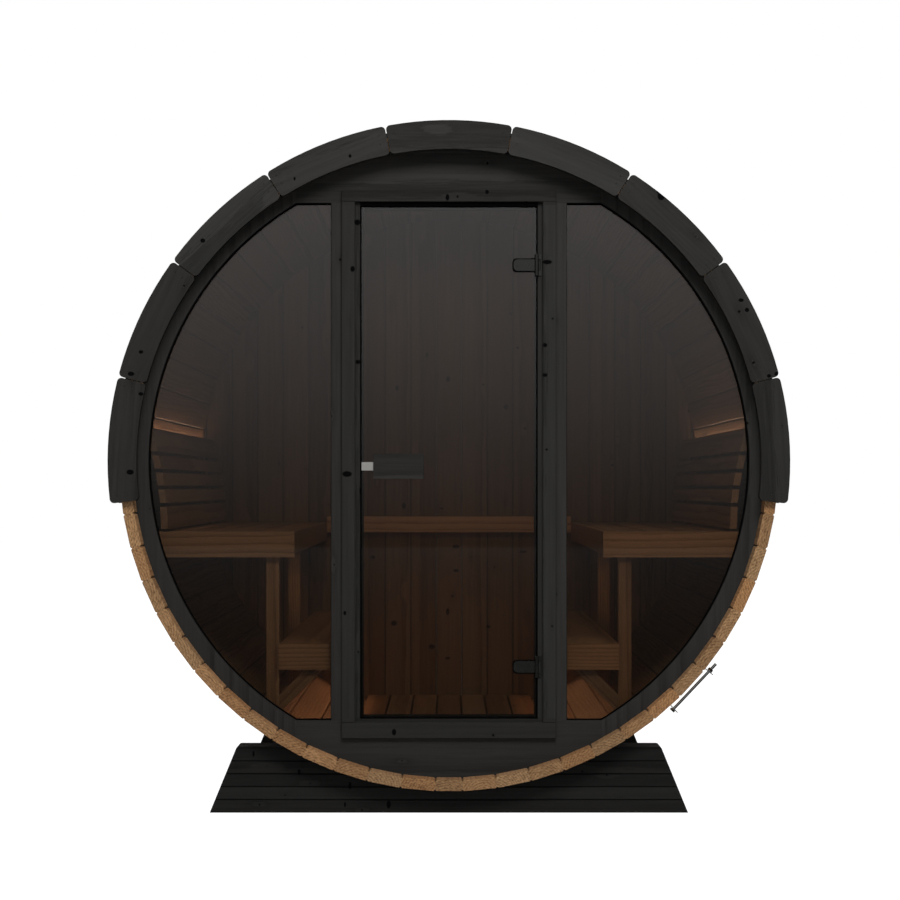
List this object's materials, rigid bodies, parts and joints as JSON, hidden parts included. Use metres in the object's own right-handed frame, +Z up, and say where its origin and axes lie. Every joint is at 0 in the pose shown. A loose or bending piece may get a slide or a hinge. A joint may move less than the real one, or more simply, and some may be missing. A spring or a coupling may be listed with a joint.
{
  "type": "barrel sauna",
  "caption": "Outdoor sauna shaped as a lying wooden barrel on two cradles, with a glazed front and a glass door.",
  "frame": {"origin": "on the ground, under the middle of the barrel", "axes": "+X to the right seen from the front, +Y from the door to the back wall, +Z up"},
  "size_m": [2.3412, 2.056, 2.3939],
  "materials": {
    "stave_wood": "planed heat-treated softwood",
    "stained_wood": "dark stain, satin",
    "roof_felt": "mineral bitumen felt",
    "strap_steel": "dull steel",
    "cradle_wood": "dark stain, matt",
    "tinted_glass": "tinted safety glass",
    "room_wood": "planed heat-treated softwood",
    "floor_wood": "planed heat-treated softwood",
    "hinge_metal": "dark, satin",
    "handle_wood": "dark stain, satin",
    "latch_steel": "satin steel"
  },
  "bodies": {
    "sauna": {"staves_bottom": "stave_wood", "staves_lower_right": "stave_wood", "staves_upper_right": "stave_wood", "staves_top": "stave_wood", "staves_upper_left": "stave_wood", "staves_lower_left": "stave_wood", "front_trim": "stained_wood", "rear_trim": "stained_wood", "roof_covering": "roof_felt", "front_strap": "strap_steel", "rear_strap": "strap_steel", "strap_bolts": "strap_steel", "front_cradle": "cradle_wood", "rear_cradle": "cradle_wood", "front_wall_top": "stained_wood", "front_wall_bottom": "stained_wood", "front_wall_left_rim": "stained_wood", "front_wall_right_rim": "stained_wood", "front_wall_posts": "stained_wood", "left_window": "tinted_glass", "right_window": "tinted_glass", "door_frame": "stained_wood", "door_stops": "stained_wood", "door_casing": "stained_wood", "back_wall": "room_wood", "back_wall_rail": "room_wood", "floor_slats": "floor_wood", "floor_bearers": "floor_wood", "left_upper_bench": "room_wood", "left_lower_bench": "room_wood", "left_bench_legs": "room_wood", "left_bench_braces": "room_wood", "left_backrest": "room_wood", "left_backrest_posts": "room_wood", "right_upper_bench": "room_wood", "right_lower_bench": "room_wood", "right_bench_legs": "room_wood", "right_bench_braces": "room_wood", "right_backrest": "room_wood", "right_backrest_posts": "room_wood", "frame_hinges": "hinge_metal"},
    "door": {"door_glass": "tinted_glass", "door_handle": "handle_wood", "door_latch_plate": "latch_steel", "door_hinge_clamps": "hinge_metal"}
  },
  "joints": [
    {"name": "door_hinge", "type": "hinge", "parent": "sauna", "child": "door", "pos_m": [0.305, -0.946, 1.2235], "axis": [0, 0, 1], "range_deg": [0, 105]}
  ]
}
